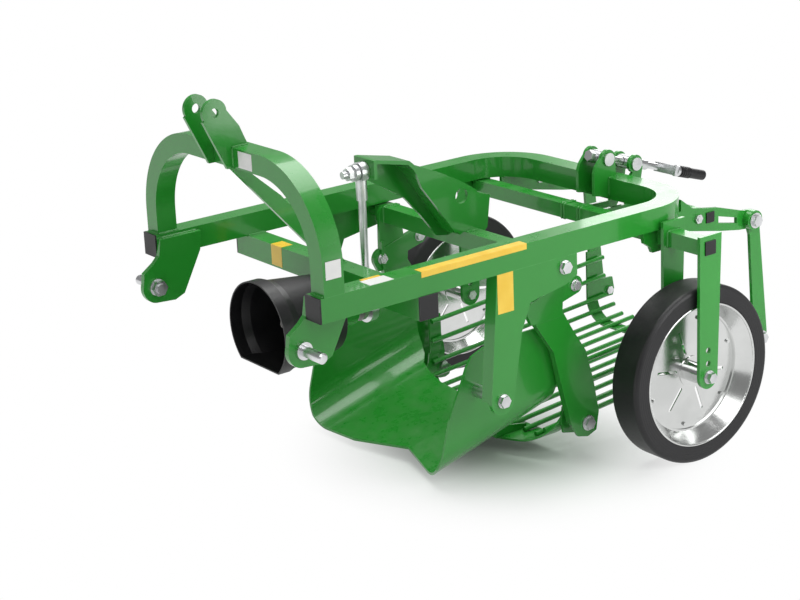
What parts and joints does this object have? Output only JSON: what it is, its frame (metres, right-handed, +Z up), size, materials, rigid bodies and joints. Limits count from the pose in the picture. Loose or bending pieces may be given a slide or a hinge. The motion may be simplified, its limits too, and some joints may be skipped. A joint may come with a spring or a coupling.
{
  "type": "potato digger",
  "caption": "Tractor-mounted vibrating potato digger: U frame with arch headstock, scoop share, swinging rod sieve, gauge wheels and depth crank.",
  "frame": {"origin": "on the ground under the middle of the bounding box, machine standing on its wheels with the frame slightly nose-down", "axes": "+X forward to the tractor (longest extent), +Y to the machine's left, +Z up (shortest extent)"},
  "size_m": [1.3891, 0.93, 0.8495],
  "materials": {
    "green_paint": "gloss",
    "zinc_steel": "satin",
    "black_plastic": "satin",
    "rubber": "matte",
    "tyre": "matte",
    "label_film": "gloss"
  },
  "bodies": {
    "machine": {"u_frame": "green_paint", "frame_plugs": "black_plastic", "front_cross": "green_paint", "cross_plugs": "black_plastic", "headstock_arch": "green_paint", "top_link_ears": "green_paint", "headstock_brace": "green_paint", "link_plate_left": "green_paint", "link_plate_right": "green_paint", "hitch_pin_left": "zinc_steel", "hitch_pin_right": "zinc_steel", "side_strut_left": "green_paint", "side_strut_right": "green_paint", "pto_bearing": "green_paint", "pto_guard": "black_plastic", "pivot_bolts": "zinc_steel", "share": "green_paint", "share_bolts": "zinc_steel", "hanger_bolts": "zinc_steel", "rear_carrier": "green_paint", "carrier_bolts": "zinc_steel", "carrier_plugs": "black_plastic", "depth_bracket": "green_paint", "label_films": "label_film"},
    "pto": {"pto_shaft": "zinc_steel"},
    "rocker": {"rocker_arm": "green_paint", "rockshaft": "green_paint", "swing_lever_left": "green_paint", "swing_lever_right": "green_paint", "rod_bolt": "zinc_steel"},
    "rod": {"connecting_rod": "zinc_steel"},
    "sieve": {"sieve_band": "green_paint", "sieve_rods": "green_paint", "sieve_hoop": "green_paint", "sieve_bushes": "rubber", "sieve_bolts": "zinc_steel"},
    "hanger_l": {"hanger_left": "green_paint"},
    "hanger_r": {"hanger_right": "green_paint"},
    "depth": {"depth_shaft": "green_paint", "fork_legs": "green_paint", "depth_plugs": "black_plastic", "axle_bolts": "zinc_steel"},
    "wheel_l": {"wheel_disc_left": "zinc_steel", "wheel_rim_left": "zinc_steel", "tyre_left": "tyre"},
    "wheel_r": {"wheel_disc_right": "zinc_steel", "wheel_rim_right": "zinc_steel", "tyre_right": "tyre"},
    "front_block": {"front_trunnion": "zinc_steel"},
    "rear_block": {"rear_trunnion": "zinc_steel"},
    "spindle": {"depth_spindle": "zinc_steel"},
    "grip": {"crank_grip": "black_plastic"}
  },
  "joints": [
    {"name": "pto_spin", "type": "hinge", "parent": "machine", "child": "pto", "pos_m": [0.35015, 0, 0.35764], "axis": [0.9982, 0, -0.06], "continuous": true},
    {"name": "rocker_swing", "type": "hinge", "parent": "machine", "child": "rocker", "pos_m": [0.00207, 0, 0.46672], "axis": [0, 1, 0], "range_deg": [-3.2, 3.2]},
    {"name": "rod_swing", "type": "hinge", "parent": "rocker", "child": "rod", "pos_m": [0.28246, 0, 0.64823], "axis": [0.9982, 0, -0.06], "range_deg": [-3, 3]},
    {"name": "sieve_swing", "type": "hinge", "parent": "rocker", "child": "sieve", "pos_m": [-0.13543, 0, 0.07928], "axis": [0, 1, 0], "range_deg": [-4, 4]},
    {"name": "hanger_left_swing", "type": "hinge", "parent": "machine", "child": "hanger_l", "pos_m": [-0.62315, 0.26, 0.46524], "axis": [0, 1, 0], "range_deg": [-5, 5]},
    {"name": "hanger_right_swing", "type": "hinge", "parent": "machine", "child": "hanger_r", "pos_m": [-0.62315, -0.26, 0.46524], "axis": [0, 1, 0], "range_deg": [-5, 5]},
    {"name": "depth_swing", "type": "hinge", "parent": "machine", "child": "depth", "pos_m": [-0.29522, 0, 0.4876], "axis": [0, 1, 0], "range_deg": [-5, 5]},
    {"name": "wheel_left_spin", "type": "hinge", "parent": "depth", "child": "wheel_l", "pos_m": [-0.31056, 0.397, 0.199], "axis": [0, 1, 0], "continuous": true},
    {"name": "wheel_right_spin", "type": "hinge", "parent": "depth", "child": "wheel_r", "pos_m": [-0.31056, -0.397, 0.199], "axis": [0, 1, 0], "continuous": true},
    {"name": "front_block_turn", "type": "hinge", "parent": "machine", "child": "front_block", "pos_m": [-0.35925, 0.045, 0.60565], "axis": [0, 1, 0], "range_deg": [-10, 10]},
    {"name": "rear_block_turn", "type": "hinge", "parent": "depth", "child": "rear_block", "pos_m": [-0.44671, 0.045, 0.58386], "axis": [0, 1, 0], "range_deg": [-5, 5]},
    {"name": "spindle_turn", "type": "hinge", "parent": "front_block", "child": "spindle", "pos_m": [-0.35925, 0.045, 0.60565], "axis": [-0.9703, 0, -0.2418], "continuous": true},
    {"name": "grip_spin", "type": "hinge", "parent": "spindle", "child": "grip", "pos_m": [-0.56884, 0.09, 0.55344], "axis": [-0.9703, 0, -0.2418], "continuous": true}
  ],
  "couplings": [
    {"joint": "sieve_swing", "follows": "rocker_swing", "ratio": -1.1233},
    {"joint": "hanger_left_swing", "follows": "rocker_swing", "ratio": 1.3798},
    {"joint": "hanger_right_swing", "follows": "rocker_swing", "ratio": 1.3798},
    {"joint": "front_block_turn", "follows": "depth_swing", "ratio": 1.3727},
    {"joint": "rear_block_turn", "follows": "depth_swing", "ratio": 0.37268}
  ]
}
